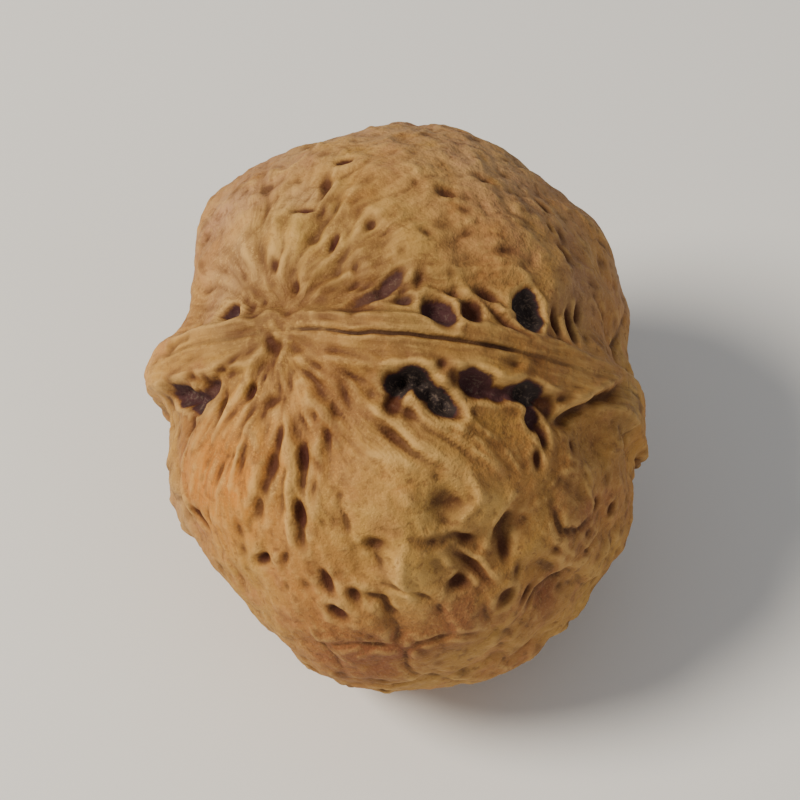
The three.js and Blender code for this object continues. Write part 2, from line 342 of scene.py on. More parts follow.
        ([(31, -46), (33, -53), (40, -58)], 0.35, 0.30, 0),
        ([(26, -47), (29, -53)], 0.30, 0.24, 0),
        ([(3, -22), (4, -30), (2.5, -40), (1, -47)], 0.35, 0.34, 0),
        ([(10.5, -22), (11, -32), (9, -42)], 0.30, 0.26, 0),
        ([(-7, -18), (-3.5, -26), (-7, -36)], 0.40, 0.24, 0),
        ([(-20, -17), (-30, -28), (-33, -38)], 0.35, 0.34, 0),
        ([(42, -45), (47, -43.6), (53, -44.8)], 0.50, -0.34, 0.55),
        ([(61, -35), (62, -41), (66, -46)], 0.62, -0.42, 0.50),
        ([(-33, -2.2), (-27, -0.8), (-21, 0.0)], 0.28, -0.20, 0.45),
        ([(48, 9), (50, 6)], 0.30, 0.28, 0),
        ([(38.5, 6), (39, 2.5)], 0.25, 0.22, 0),
        ([(28, 12), (40, 15), (52, 17), (62, 18)], 0.50, 0.28, 0),
    ],
    # marks scattered at random, and the window that the lists above fill
    scatterSeed=7, workedAround=(-50, 126), workedAcross=(-78, 76), earReach=(20, 11),
    freckles=dict(count=420, size=(0.3, 0.75), depth=(0.05, 0.16), tone=(0.10, 0.45), stretch=(1, 2)),
    hiddenPits=dict(count=170, smallest=0.45, spread=0.85, stretch=(1.2, 3.2), depth=(0.2, 0.6),
                    tone=(0.45, 1), lean=18, hue=(0.05, 0.6)),
    seamPits=dict(count=56, side=(6.5, 12), length=(1.4, 3.4), width=(0.8, 1.6), lean=25,
                  hue=(0.3, 0.9), depth=(0.5, 0.9)),
    hiddenFurrows=dict(count=210, drift=0.4, stops=(3, 7), halfWidth=(0.3, 0.6), height=(0.2, 0.46),
                       bend=0.35, stride=0.11, tone=0.5, offSeam=9),
    stemSlits=dict(count=95, seed=3, fromStem=(7, 32), length=(0.7, 1.8), width=(0.28, 0.44), lean=6,
                   depth=(0.12, 0.28), tone=(0.4, 0.95), aboveSeam=0.45, offSeam=4.5),
    brownHue=0.05,    # the hue of the smallest marks' floors
)


# the starting cube's squares, six faces in turn: places on the cube, square corners, chart places
def cubeGrid(rows):
    steps = np.linspace(-1, 1, rows + 1)
    u, v = np.meshgrid(steps, steps, indexing="ij")
    chartSize, chartEdge = np.array([0.315, 0.48]), np.array([0.009, 0.01])    # a face's part of the chart
    places, squares, charts = [], [], []
    for side in range(6):
        axis, sign = side // 2, 1 - 2 * (side % 2)
        grid = np.empty((rows + 1, rows + 1, 3))
        grid[..., axis] = sign
        grid[..., (axis + 1) % 3] = u
        grid[..., (axis + 2) % 3] = v
        index = np.arange((rows + 1) ** 2).reshape(rows + 1, rows + 1) + len(places) * (rows + 1) ** 2
        ring = [index[:-1, :-1], index[1:, :-1], index[1:, 1:], index[:-1, 1:]]
        if sign < 0:
            ring = ring[::-1]
        squares.append(np.stack(ring, axis=-1).reshape(-1, 4))
        places.append(grid.reshape(-1, 3))
        chart = np.stack([(u + 1) / 2, (v + 1) / 2], axis=-1) * chartSize + chartEdge
        charts.append((chart + np.array([side % 3 / 3, side // 3 / 2])).reshape(-1, 2))
    return np.concatenate(places), np.concatenate(squares), np.concatenate(charts)


# joins the six faces where their edge places agree
def joinPlaces(places, squares):
    keys = np.round(places * 1e6).astype(np.int64)
    _, first, merged = np.unique(keys, axis=0, return_index=True, return_inverse=True)
    return places[first], merged.reshape(-1)[squares]


# evens out values over the squares' corners, a little further each round
def blurred(values, squares, rounds):
    start = squares.reshape(-1)
    end = np.roll(squares, -1, axis=1).reshape(-1)
    neighbours = np.bincount(end, minlength=len(values))
    for i in range(rounds):
        values = 0.4 * values + 0.6 * np.bincount(end, values[start], len(values)) / neighbours
    return values


# distance from each point to a line through the stops
def distanceToLine(points, stops):
    nearest = np.full(len(points), np.inf)
    for start, end in zip(stops[:-1], stops[1:]):
        run = end - start
        along = np.clip((points - start) @ run / (run @ run), 0, 1)
        nearest = np.minimum(nearest, np.linalg.norm(points - start - along[:, None] * run, axis=1))
    return nearest


class ShellSculpt:
    def __init__(self, form, directions):
        self.form = form
        self.directions = directions
        self.halves = np.array([form["seamHalf"], form["cheekHalf"], form["endHalf"]])
        self.bare = 1 / np.linalg.norm(directions / self.halves, axis=1)
        self.points = directions * self.bare[:, None]
        self.around = np.degrees(np.arctan2(directions[:, 0], directions[:, 2]))
        self.across = np.degrees(np.arcsin(directions[:, 1]))
        self.fromStem = np.degrees(np.arccos(np.clip(directions[:, 2], -1, 1)))
        self.fromTip = 180 - self.fromStem
        self.seamSide = self.points[:, 1] - np.interp(self.around, *zip(*form["seamStray"]))
        self.relief = np.zeros(len(directions))
        self.pitEdge = np.full(len(directions), -1.0)      # millimetres inside the nearest pit's outline
        self.pitTone = np.zeros(len(directions))
        self.pitHue = np.zeros(len(directions))
        self.lineTone = np.zeros(len(directions))
        self.fray = self.noises("fray")
        warp = [layeredNoise(self.points / form["warpSize"], form["warpSeed"] + i, 2) for i in range(3)]
        self.warped = self.points + form["warpReach"] * np.stack(warp, axis=1)
        # the fibres' heading from the stem wanders as they go
        ring = np.maximum(np.hypot(self.points[:, 0], self.points[:, 1]), 2.0)
        self.heading = np.arctan2(directions[:, 1], directions[:, 0]) + self.noises("fibreStray") / ring

    # the sum of the noises in one of the form's lists
    def noises(self, name):
        return sum(strength * noise(self.points / size, seed) for strength, size, seed in self.form[name])

    # how far a pattern is kept, less of it on the welt and the ear
    def keptOff(self, share):
        return 1 - self.form[share] * np.maximum(self.welt, self.ear)

    def placeAt(self, around, across):
        direction = seamDirection(around, across)
        return direction / np.linalg.norm(direction / self.halves, axis=-1, keepdims=True)

    def spot(self, around, across, reach, strength):
        return strength * bell(np.linalg.norm(self.points - self.placeAt(around, across), axis=1), reach)

    def near(self, place, reach):
        return np.nonzero(np.sum((self.points - place) ** 2, axis=1) < reach * reach)[0]

    # fibres that run from the stem end to the tip; their number doubles as the rings round the nut widen
    def fibres(self, size, seed):
        width, length = size
        radius = self.form["meanRadius"]
        down = np.radians(self.fromStem)
        ring = np.maximum(np.sin(down), 0.05) * radius / width
        total = np.zeros(len(down))
        squaredWeights = np.zeros(len(down))
        for level in range(7):
            count = 2.0 ** level
            weight = np.clip(1 - np.abs(np.log2(ring) - level), 0, 1)
            lengthwise = down * radius / length
            ringPlace = np.column_stack([np.cos(self.heading), np.sin(self.heading)]) * count
            places = np.column_stack([ringPlace, lengthwise])
            total += weight * noise(places + 7.3 * level, seed + level)
            squaredWeights += weight ** 2
        return total / np.sqrt(np.maximum(squaredWeights, 0.04))

    def addEnds(self):
        form = self.form
        self.relief += form["tipHeight"] * bell(self.fromTip, form["tipSpread"])
        self.relief += form["tipPointHeight"] * bell(self.fromTip, form["tipPointSpread"])
        self.relief -= form["stemFlattening"] * bell(self.fromStem, form["stemSpread"])
        self.scar = self.spot(*form["scarPlace"], form["scarSpread"], 1)
        self.relief += form["scarRelief"] * self.scar * layeredNoise(self.points / form["scarGrain"], 91, 2)

    def addSeam(self):
        form = self.form
        side = self.seamSide
        # the welt swells and sinks a little all round
        low = form["weltLowering"] * bell(self.around - form["weltLowAngle"], form["weltLowSpread"])
        broken = form["weltStemLowering"] * bell(self.around, form["weltStemSpread"])
        height = form["weltHeight"] * (1 - low - broken) * (1 + self.noises("weltSwell"))
        reach = np.where(side > 0, form["weltUp"], form["weltDown"]) * (1 + self.noises("weltReachSwell"))
        reach = reach * (1 + bell(self.around, form["weltFraySpread"]) * self.noises("weltFray"))
        edge = reach - form["weltEdge"]
        # below the stem it fades into the cheek
        fading = form["weltFading"] * bell(self.around - form["weltFadingAngle"], form["weltFadingSpread"])
        kept = 1 - fading * smoothStep(*form["weltFadingSide"], side)
        self.welt = kept * (1 - smoothStep(edge, reach + form["weltShoulder"], np.abs(side)))
        lips = form["lipHeight"] * kept * bell(np.abs(side) - edge, form["lipWidth"])
        furrows = form["furrowDepth"] * bell(np.abs(side) - form["furrowOffset"], form["furrowWidth"])
        self.relief += height * self.welt + lips - furrows
        self.ear = bell(self.around - form["earAngle"], form["earSpread"]) * bell(side, form["earWidth"])
        self.relief += form["earHeight"] * self.ear * (1 + self.noises("earKnobs"))
        self.addCrack()
        # fibres along the welt
        self.seamRun = np.stack([np.cos(np.radians(self.around)), np.sin(np.radians(self.around))], axis=1)
        lengthwise = self.seamRun * form["meanRadius"] / form["weltFibreLength"]
        places = np.column_stack([side / form["weltFibreWidth"], lengthwise])
        offCrack = 1 - bell(side, form["crackClear"])
        self.relief += form["weltFibres"] * layeredNoise(places, 21, 2) * self.welt * offCrack

    def addCrack(self):
        form = self.form
        opening = np.interp(self.around, *zip(*form["crackOpen"]))
        breaks = np.clip(form["crackUsual"] + self.noises("crackBreaks"), form["crackLeast"], 1)
        self.crack = opening * breaks
        self.crackSide = self.seamSide + self.noises("crackWobble")
        self.relief -= form["crackDepth"] * self.crack * bell(self.crackSide, form["crackWidth"])
        lips = bell(np.abs(self.crackSide) - form["crackLipOffset"], form["crackLipWidth"])
        self.relief += form["crackLipHeight"] * self.crack * lips

    def addSwellings(self):
        for swelling in self.form["swellings"]:
            self.relief += self.spot(*swelling)
        lumps = self.form["lumpHeight"] * layeredNoise(self.warped / self.form["lumpSize"], 31, 2)
        knobs = self.form["knobHeight"] * noise(self.warped / self.form["knobSize"], 35)
        self.relief += (lumps + knobs) * self.keptOff("lumpsOffWelt")

    # the net of furrows and raised veins, and the dimples of the smoother leathery stretches
    def addNet(self):
        form = self.form
        calm = self.keptOff("linesOffWelt") * smoothStep(*form["netStart"], self.fromStem)
        nearest, second, _ = scatteredCells(self.warped / np.array(form["netCell"]), 51)
        border = second - nearest
        patches = smoothStep(-0.35, 0.45, layeredNoise(self.points / form["netPatchSize"], 53, 2))
        veins = form["veinHeight"] * (1 - smoothStep(0, form["veinWidth"], border)) * patches
        furrows = form["netDepth"] * (1 - smoothStep(0, form["netWidth"], border)) * (1 - patches)
        self.relief += (veins - furrows) * calm
        # most of the leathery stretches lie above the seam
        above = 0.5 * smoothStep(*form["leatherStart"], self.across)
        leathery = smoothStep(-0.3, 0.4, noise(self.points / form["leatherSize"], 55) + above)
        largest = form["dimpleCells"][0][0]
        for size, seed in form["dimpleCells"]:
            nearest, second, choice = scatteredCells(self.warped / size, seed)
            wide = 0.22 + 0.20 * choice
            dimples = (1 - smoothStep(0.3 * wide, 1.7 * wide, nearest)) * (choice > -0.3)
            self.relief -= form["dimpleDepth"] * size / largest * dimples * leathery * calm

    def addFibres(self):
        form = self.form
        aroundStem = bell(self.fromStem - form["fanFromStem"], form["fanStemSpread"])
        aroundTip = bell(self.fromTip, form["fanTipSpread"])
        fan = form["fanLeast"] + (1 - form["fanLeast"]) * np.maximum(aroundStem, aroundTip)
        calm = self.keptOff("linesOffWelt") * smoothStep(*form["fanStart"], self.fromStem)
        self.fan = fan * calm
        ropes = self.fibres(form["ropeSize"], 61)
        strands = self.fibres(form["strandSize"], 71)
        threads = self.fibres(form["threadSize"], 81)
        narrow = 1 - smoothStep(0, form["creaseWidth"], np.abs(strands))
        broad = 1 - smoothStep(0, form["creaseWidth"], np.abs(ropes))
        self.crease = np.maximum(narrow, 0.8 * broad) * self.fan
        # rounded strands with sharp creases between them, gentler above the seam
        rounded = form["ropeHeight"] * (2.2 * np.abs(ropes) - 0.6)
        rounded += form["strandHeight"] * (2.2 * np.abs(strands) - 0.6)
        upper = smoothStep(*form["upperStart"], self.across)
        self.relief += rounded * self.fan * (1 - form["upperCalm"] * upper)
        self.relief += form["threadHeight"] * threads * (0.4 + 0.6 * fan) * calm
        self.relief += form["gritHeight"] * layeredNoise(self.points / form["gritSize"], 95, 2)

    # a pit with a frayed outline, steep walls and an uneven floor
    def addPit(self, around, across, length, width, turn, depth, tone, hue):
        form = self.form
        place = self.placeAt(around, across)
        found = self.near(place, max(length, width) / 2 * 1.5 + 1.2)
        outward = unit(place / self.halves ** 2)
        along = unit(np.cross(np.array([0.0, 1.0, 0.0]), outward))
        up = np.cross(outward, along)
        lean = math.radians(turn)
        first = math.cos(lean) * along + math.sin(lean) * up
        second = math.cos(lean) * up - math.sin(lean) * along
        away = self.points[found] - place
        ratio = np.hypot(away @ first / (length / 2), away @ second / (width / 2))
        ratio = ratio * (1 + form["pitFraying"] * self.fray[found])
        halfWidth = min(length, width) / 2
        inside = np.clip((1 - ratio) * halfWidth, -1, 1)    # millimetres inside the outline
        wall = max(form["pitWall"], form["pitSlope"] * halfWidth)
        waves = 1 + form["pitFloorWaves"] * self.fray[found]
        floor = smoothStep(-0.5 * form["pitWall"], wall, inside) * waves
        rim = form["pitRim"] * bell(inside + form["pitRimOffset"], form["pitRimWidth"])
        self.relief[found] += form["pitDeepening"] * depth * (rim - floor)
        closer = inside > self.pitEdge[found]
        nearer = found[closer]
        self.pitEdge[nearer] = inside[closer]
        self.pitTone[nearer] = tone
        self.pitHue[nearer] = hue

    def addLine(self, stops, halfWidth, height, tone):
        form = self.form
        places = np.array([self.placeAt(*stop) for stop in stops])
        middle = places.mean(axis=0)
        reach = np.max(np.linalg.norm(places - middle, axis=1)) + 4 * halfWidth + 0.5
        found = self.near(middle, reach)
        wobble = form["grooveWobble"] if height < 0 else form["strandWobble"]
        away = distanceToLine(self.points[found] + wobble * self.fray[found, None], places)
        total = np.sum(np.linalg.norm(np.diff(places, axis=0), axis=1))
        ends = np.minimum(np.linalg.norm(self.points[found] - places[0], axis=1),
                          np.linalg.norm(self.points[found] - places[-1], axis=1))
        taper = form["lineEnds"] + (1 - form["lineEnds"]) * smoothStep(0, form["lineTaper"] * total, ends)
        self.relief[found] += height * bell(away, halfWidth) * taper
        # painted shade along a groove
        darkening = tone * bell(away, form["lineDarkeningWidth"] * halfWidth) * taper
        self.lineTone[found] = np.maximum(self.lineTone[found], darkening)

    def addWorkedMarks(self):
        for pit in self.form["pits"]:
            self.addPit(*pit)
        for stops, halfWidth, height, tone in self.form["lines"]:
            self.addLine(stops, halfWidth, height, tone)

    def isWorked(self, around, across):
        (left, right), (low, high) = self.form["workedAround"], self.form["workedAcross"]
        return left < around < right and low < across < high

    def isOnEar(self, around, across):
        alongEar, overEar = self.form["earReach"]
        return abs(around - self.form["earAngle"]) < alongEar and abs(across) < overEar

    def isHidden(self, around, across):
        return not (self.isWorked(around, across) or self.isOnEar(around, across))

    # the angle that a meridian from the stem makes with the seam's direction
    def grainTurn(self, around, across):
        outward = unit(self.placeAt(around, across) / self.halves ** 2)
        along = unit(np.cross(np.array([0.0, 1.0, 0.0]), outward))
        up = np.cross(outward, along)
        return math.degrees(math.atan2(-up[2], -along[2]))

    def addScatteredMarks(self):
        draws = np.random.default_rng(self.form["scatterSeed"])
        self.addFreckles(draws)
        self.addHiddenPits(draws)
        self.addSeamPits(draws)
        self.addHiddenFurrows(draws)
        self.addStemSlits()

    def addFreckles(self, draws):
        freckles = self.form["freckles"]
        for i in range(freckles["count"]):
            around, across = anglesOf(unit(draws.normal(size=3)))
            size, depth = draws.uniform(*freckles["size"]), draws.uniform(*freckles["depth"])
            tone, stretch = draws.uniform(*freckles["tone"]), draws.uniform(*freckles["stretch"])
            turn = self.grainTurn(around, across)
            self.addPit(around, across, size * stretch, size, turn, depth, tone, self.form["brownHue"])

    def addHiddenPits(self, draws):
        pits = self.form["hiddenPits"]
        for i in range(pits["count"]):
            around, across = anglesOf(unit(draws.normal(size=3)))
            size = pits["smallest"] + pits["spread"] * draws.uniform() ** 2
            stretch, depth = draws.uniform(*pits["stretch"]), draws.uniform(*pits["depth"])
            tone, lean = draws.uniform(*pits["tone"]), draws.normal(0, pits["lean"])
            hue = draws.uniform(*pits["hue"])
            if self.isHidden(around, across):
                turn = self.grainTurn(around, across) + lean
                self.addPit(around, across, size * stretch, size, turn, depth, tone, hue)

    # larger pits beside the seam, on its two sides in turn
    def addSeamPits(self, draws):
        pits = self.form["seamPits"]
        for i in range(pits["count"]):
            around = draws.uniform(-180, 180)
            side = (1 if i % 2 else -1) * draws.uniform(*pits["side"])
            length, width = draws.uniform(*pits["length"]), draws.uniform(*pits["width"])
            lean, hue = draws.normal(0, pits["lean"]), draws.uniform(*pits["hue"])
            depth = draws.uniform(*pits["depth"])
            stray = np.interp(around, *zip(*self.form["seamStray"])) / self.form["seamHalf"]
            across = side + math.degrees(stray)
            if self.isHidden(around, across):
                self.addPit(around, across, length, width, lean, depth, 1.0, hue)

    def addHiddenFurrows(self, draws):
        furrows = self.form["hiddenFurrows"]
        for i in range(furrows["count"]):
            direction = unit(draws.normal(size=3))
            around, across = anglesOf(direction)
            drift, stops = draws.normal(0, furrows["drift"]), int(draws.integers(*furrows["stops"]))
            halfWidth = draws.uniform(*furrows["halfWidth"])
            # two furrows to each ridge
            height = draws.choice([-1, -1, 1]) * draws.uniform(*furrows["height"])
            bends = draws.normal(0, furrows["bend"], stops)
            if not self.isWorked(around, across) and abs(across) > furrows["offSeam"]:
                self.addFurrow(direction, drift, bends, halfWidth, height)

    # a furrow or a ridge that follows the grain and bends as it goes
    def addFurrow(self, direction, drift, bends, halfWidth, height):
        furrows = self.form["hiddenFurrows"]
        stops = []
        for bend in bends:
            stops.append(anglesOf(direction))
            drift += bend
            down = np.array([0.0, 0.0, -1.0])
            down = unit(down - direction * (down @ direction))
            sideways = np.cross(direction, down)
            step = math.cos(drift) * down + math.sin(drift) * sideways
            direction = unit(direction + furrows["stride"] * step)
        self.addLine(stops, halfWidth, height, furrows["tone"] if height < 0 else 0)

    # short dark slits that fan out from the stem
    def addStemSlits(self):
        slits = self.form["stemSlits"]
        draws = np.random.default_rng(slits["seed"])
        for i in range(slits["count"]):
            down, heading = math.radians(draws.uniform(*slits["fromStem"])), draws.uniform(-math.pi, math.pi)
            ring = math.sin(down)
            direction = np.array([ring * math.cos(heading), ring * math.sin(heading), math.cos(down)])
            around, across = anglesOf(direction)
            length, width = draws.uniform(*slits["length"]), draws.uniform(*slits["width"])
            lean = draws.normal(0, slits["lean"])
            share = slits["aboveSeam"] if across > 0 else 1
            depth, tone = share * draws.uniform(*slits["depth"]), share * draws.uniform(*slits["tone"])
            if abs(across) > slits["offSeam"]:
                turn = self.grainTurn(around, across) + lean
                self.addPit(around, across, length, width, turn, depth, tone, self.form["brownHue"])

    # how far each point stands proud of, or sinks below, the surface close round it and further round it
    def measureHollows(self, squares):
        close = blurred(self.relief, squares, self.form["closeRounds"])
        wide = blurred(self.relief, squares, self.form["wideRounds"])
        self.crevice = close - self.relief
        self.hollow = wide - close


def anglesOf(direction):
    return math.degrees(math.atan2(direction[0], direction[2])), math.degrees(math.asin(direction[1]))


# turns the nut from its own frame to the way it lies
def lyingTurn(form):
    def turn(first, second, degrees):
        matrix = np.eye(3)
        c, s = math.cos(math.radians(degrees)), math.sin(math.radians(degrees))
        matrix[first, first], matrix[first, second] = c, -s
        matrix[second, first], matrix[second, second] = s, c
        return matrix

    return turn(0, 1, form["stemHeading"]) @ turn(2, 0, form["stemLean"]) @ turn(0, 1, form["turnOnLength"])


# places in metres, set down in the design's box: centred over it, as high as it, flat where the nut rests
def setDown(places):
    low, high = (np.array(corner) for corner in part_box("walnut"))
    middle = (places.min(axis=0) + places.max(axis=0)) / 2
    shift = (low + high) / 2 - middle
    shift[2] = high[2] - places[:, 2].max()
    places += shift
    print("set down, with the nut's own middle at", [round(1000 * value, 3) for value in shift], "mm")
    places[:, 2] = np.maximum(places[:, 2], low[2])
    return places


def meshOfSquares(places, squares, cornerCharts):
    mesh = bpy.data.meshes.new("walnut_shell")
    mesh.vertices.add(len(places))
    mesh.vertices.foreach_set("co", places.reshape(-1))
    mesh.loops.add(squares.size)
    mesh.loops.foreach_set("vertex_index", squares.reshape(-1))
    mesh.polygons.add(len(squares))
    mesh.polygons.foreach_set("loop_start", np.arange(0, squares.size, 4))
    mesh.update(calc_edges=True)
    mesh.validate()
    mesh.uv_layers.new(name="OFBake").data.foreach_set("uv", cornerCharts.reshape(-1))
    mesh.shade_smooth()
    return mesh


def addAttribute(mesh, name, values):
    kind, field = ("FLOAT_VECTOR", "vector") if values.ndim == 2 else ("FLOAT", "value")
    mesh.attributes.new(name, kind, "POINT").data.foreach_set(field, values.astype(np.float32).reshape(-1))


# what the shell's material reads at each point
def addPaintGuides(mesh, sculpt):
    for name in ("pitEdge", "pitTone", "pitHue", "lineTone", "crackSide", "crack", "welt", "scar",
                 "crevice", "hollow", "fan", "crease", "fromStem"):
        addAttribute(mesh, name, getattr(sculpt, name))
    heading = np.column_stack([np.cos(sculpt.heading), np.sin(sculpt.heading)])
    addAttribute(mesh, "fibre", np.column_stack([heading, np.radians(sculpt.fromStem)]))
    addAttribute(mesh, "seamFibre", np.column_stack([sculpt.seamSide, sculpt.seamRun]))
    for tint, spots in shellPaint["tints"].items():
        addAttribute(mesh, tint, np.max([sculpt.spot(*spot) for spot in spots], axis=0))


def makeShell():
    form = shellForm
    places, squares, charts = cubeGrid(form["rowsPerFace"])
    cornerCharts = charts[squares.reshape(-1)]
    places, squares = joinPlaces(places, squares)
    places[:, 1] *= form["seamRowSpacing"] + (1 - form["seamRowSpacing"]) * places[:, 1] ** 2
    directions = unit(np.tan(places * math.pi / 4))

    sculpt = ShellSculpt(form, directions)
    sculpt.addEnds()
    sculpt.addSeam()
    sculpt.addSwellings()
    sculpt.addNet()
    sculpt.addFibres()
    print("shell form done,", len(directions), "points")
    sculpt.addScatteredMarks()
    sculpt.addWorkedMarks()
    sculpt.measureHollows(squares)
    print("pits, grooves and strands done")

    lying = (directions * (sculpt.bare + sculpt.relief)[:, None]) @ lyingTurn(form).T / 1000
    mesh = meshOfSquares(setDown(lying), squares, cornerCharts)
    addPaintGuides(mesh, sculpt)
    shell = bpy.data.objects.new("walnut_shell", mesh)
    bpy.context.scene.collection.objects.link(shell)
    return shell


class Wire:     # an output socket; + - * add Math nodes
    def __init__(self, shader, socket):
        self.shader = shader
        self.socket = socket

    def maths(self, operation, first, second):
        return self.shader.node("ShaderNodeMath", {"operation": operation}, {0: first, 1: second})

    def __add__(self, other):
        return self.maths("ADD", self, other)

    def __sub__(self, other):
        return self.maths("SUBTRACT", self, other)

    def __rsub__(self, other):
        return self.maths("SUBTRACT", other, self)

    def __mul__(self, other):
        return self.maths("MULTIPLY", self, other)

    __radd__ = __add__
    __rmul__ = __mul__


class Shader:
    def __init__(self, name):
        self.material = bpy.data.materials.new(name)
        self.material.use_nodes = True
        self.tree = self.material.node_tree
        self.surface = self.tree.nodes["Principled BSDF"]

    def node(self, kind, settings=None, values=None, result=0):
        node = self.tree.nodes.new(kind)
        for name, setting in (settings or {}).items():
            setattr(node, name, setting)
        for name, value in (values or {}).items():
            self.plug(node, name, value)
        if isinstance(result, str):
            return Wire(self, next(o for o in node.outputs if result in (o.identifier, o.name)))
        return Wire(self, node.outputs[result])

    def plug(self, node, name, value):
        if isinstance(name, str):
            socket = next(i for i in node.inputs if name in (i.identifier, i.name))
        else:
            socket = node.inputs[name]
        if isinstance(value, Wire):
            self.tree.links.new(value.socket, socket)
        else:
            socket.default_value = value

    def attribute(self, name, result="Fac"):
        return self.node("ShaderNodeAttribute", {"attribute_name": name}, result=result)

    # 0 below low, 1 above high, eased between; low above high turns it round
    def step(self, value, low, high):
        places = {"Value": value, "From Min": low, "From Max": high}
        return self.node("ShaderNodeMapRange", {"interpolation_type": "SMOOTHSTEP"}, places)

    def mix(self, factor, first, second):
        ends = {"Factor_Float": factor, "A_Color": first, "B_Color": second}
        return self.node("ShaderNodeMix", {"data_type": "RGBA"}, ends, "Result_Color")

    def noise(self, vector, scale, detail=2.0, roughness=0.5):
        places = {"Vector": vector, "Scale": scale, "Detail": detail, "Roughness": roughness}
        return self.node("ShaderNodeTexNoise", None, places, "Fac")

    def scaled(self, vector, factors):
        places = {0: vector, 1: factors}
        return self.node("ShaderNodeVectorMath", {"operation": "MULTIPLY"}, places, "Vector")

    def bump(self, height, strength, distance, normal=None):
        places = {"Height": height, "Strength": strength, "Distance": distance}
        if normal:
            places["Normal"] = normal
        return self.node("ShaderNodeBump", None, places, "Normal")


def paint(red, green, blue):    # a colour as picked on a screen, turned into scene light
    return tuple(((c / 255 + 0.055) / 1.055) ** 2.4 if c > 10 else c / 255 / 12.92
                 for c in (red, green, blue)) + (1.0,)


shellPaint = dict(
    # pale also serves as painted highlight, hollow and furrow also as painted shade
    tan=paint(158, 108, 52), straw=paint(171, 128, 60), rose=paint(168, 109, 68), pale=paint(203, 161, 93),
    hollow=paint(102, 62, 28), furrow=paint(74, 40, 18), crack=paint(60, 33, 14),
    pitBrown=paint(70, 31, 15), pitPurple=paint(66, 36, 36), pitBlack=paint(48, 37, 34),
    dust=paint(102, 86, 74),
    # tinted patches: around, across, reach in millimetres, strength; the brown patches over the lower
    # cheek's hollows are painted shade, the pale straw ones are painted highlights
    tints=dict(
        honey=[(-14, -30, 4.6, 1.1), (-44, 2, 3.0, 0.6), (52, -8, 2.4, 0.3), (25, -17, 1.6, 0.3)],
        rust=[
            (55, -57, 3.6, 0.8), (25, -74, 4.5, 0.8), (92, -33, 3.2, 0.6), (96, -50, 3.0, 0.8),
            (20, 7, 2.4, 0.5), (63, -38, 1.6, 0.5), (48, -45, 2.4, 0.4), (4, 4, 2.4, 0.4),
        ],
        bloom=[
            (-43, 20, 4.5, 0.5), (-14, 15, 4.0, 0.55), (-24, 34, 5.0, 0.5), (-18, 44, 4.5, 0.45),
            (-1, 31, 2.2, 0.7), (-43, -33, 2.4, 0.3), (106, 33, 3.2, 0.5),
            (55, 50, 9.0, 0.45), (10, 66, 8.0, 0.45), (75, 20, 4.0, 0.35),
        ],
        # the shell's own darker brown round the stem and by the seam, and painted shade in the lower cheek's
        # hollows
        umberAndShade=[
            (-3, 2, 3.6, 0.9), (8, 2, 3.6, 0.9), (20, 6, 4.0, 1.1), (28, 9, 3.0, 0.8), (30, -20, 3.0, 0.8),
            (52, 5, 3.5, 0.6), (46, -16, 2.5, 0.7), (28, -1, 3.4, 0.95), (45, -4, 3.2, 0.8),
            (58, -3, 3.0, 0.5), (75, -22, 4.0, 0.4), (42, -26, 2.0, 0.3), (41, -38, 1.5, 0.6),
            (61, -42, 1.6, 0.8), (49, -45, 2.0, 0.6), (53, -51, 2.2, 0.7), (33, -54, 1.6, 0.5),
            (-24, -15, 3.0, 0.5), (26, -16, 3.2, 0.7), (38, 13, 3.0, 0.6),
        ],
        # painted highlights on the swellings, the lumps by the seam and the ear's lobe
        paintedHighlight=[
            (10, -38, 4.0, 0.35), (32, -32, 4.5, 0.5), (55, -36, 1.8, 0.7), (37, -51, 2.6, 0.6),
            (26, 24, 4.5, 0.4), (-4, 24, 4.5, 0.6), (10, 17, 3.5, 0.45), (0, -17, 3.5, 0.35),
            (45, -7, 1.5, 0.4), (75, -6, 3.0, 0.3),
            (27, 2.5, 1.3, 0.5), (46, 3, 1.3, 0.5), (39, 11, 1.3, 0.5), (52, 13, 1.6, 0.4),
            (-44, -2, 3.0, 0.4), (8, -4, 4.0, 0.2),
        ],
        moss=[
            (44, -39, 3.2, 0.5), (8, 21, 4.0, 0.6), (97, -4, 3.2, 0.6), (-5, -1, 3.0, 0.5),
            (33, 2, 3.0, 0.5),
        ],
    ),
    # the tints' colours: the dark brown serves as the shell's own brown and as painted shade, the pale straw
    # as painted highlight
    honey=paint(191, 120, 42), rust=paint(126, 66, 42), bloom=paint(180, 144, 116), moss=paint(140, 110, 54),
    umberAndShade=paint(100, 64, 34), paintedHighlight=paint(212, 168, 90),
    # noise scales, in patterns to the metre
    scales=dict(weathered=90, broad=130, patches=360, speckle=1500, grit=4200),
    # and, for the fibres, patterns across and along them
    fibreScales=dict(fineFan=(22, 22, 7), wideFan=(10, 10, 10), ribbon=(2.2, 5, 5)),
    # how much of its colour each effect lays on where it is strongest
    # proud and strand tops lay painted highlight; strand gaps and hollows painted shade; crevices and
    # creases dirt with painted shade
    amounts=dict(rose=0.50, umberAndShade=0.35, honey=0.25, proud=0.55, strandTops=0.30, strandGaps=0.42,
                 hollows=0.52, crevices=0.72, creases=0.56, specks=0.34, paleGrit=0.17, scar=0.6,
                 pitDarkening=0.9, pitRim=0.45, pitDust=0.75),
    # how strong and how deep, in metres, each grain's bumps are
    bumps=dict(strands=(0.50, 0.00030), speckle=(0.50, 0.00022), grit=(0.36, 0.00008)),
    specular=0.28, roughness=0.60,
)


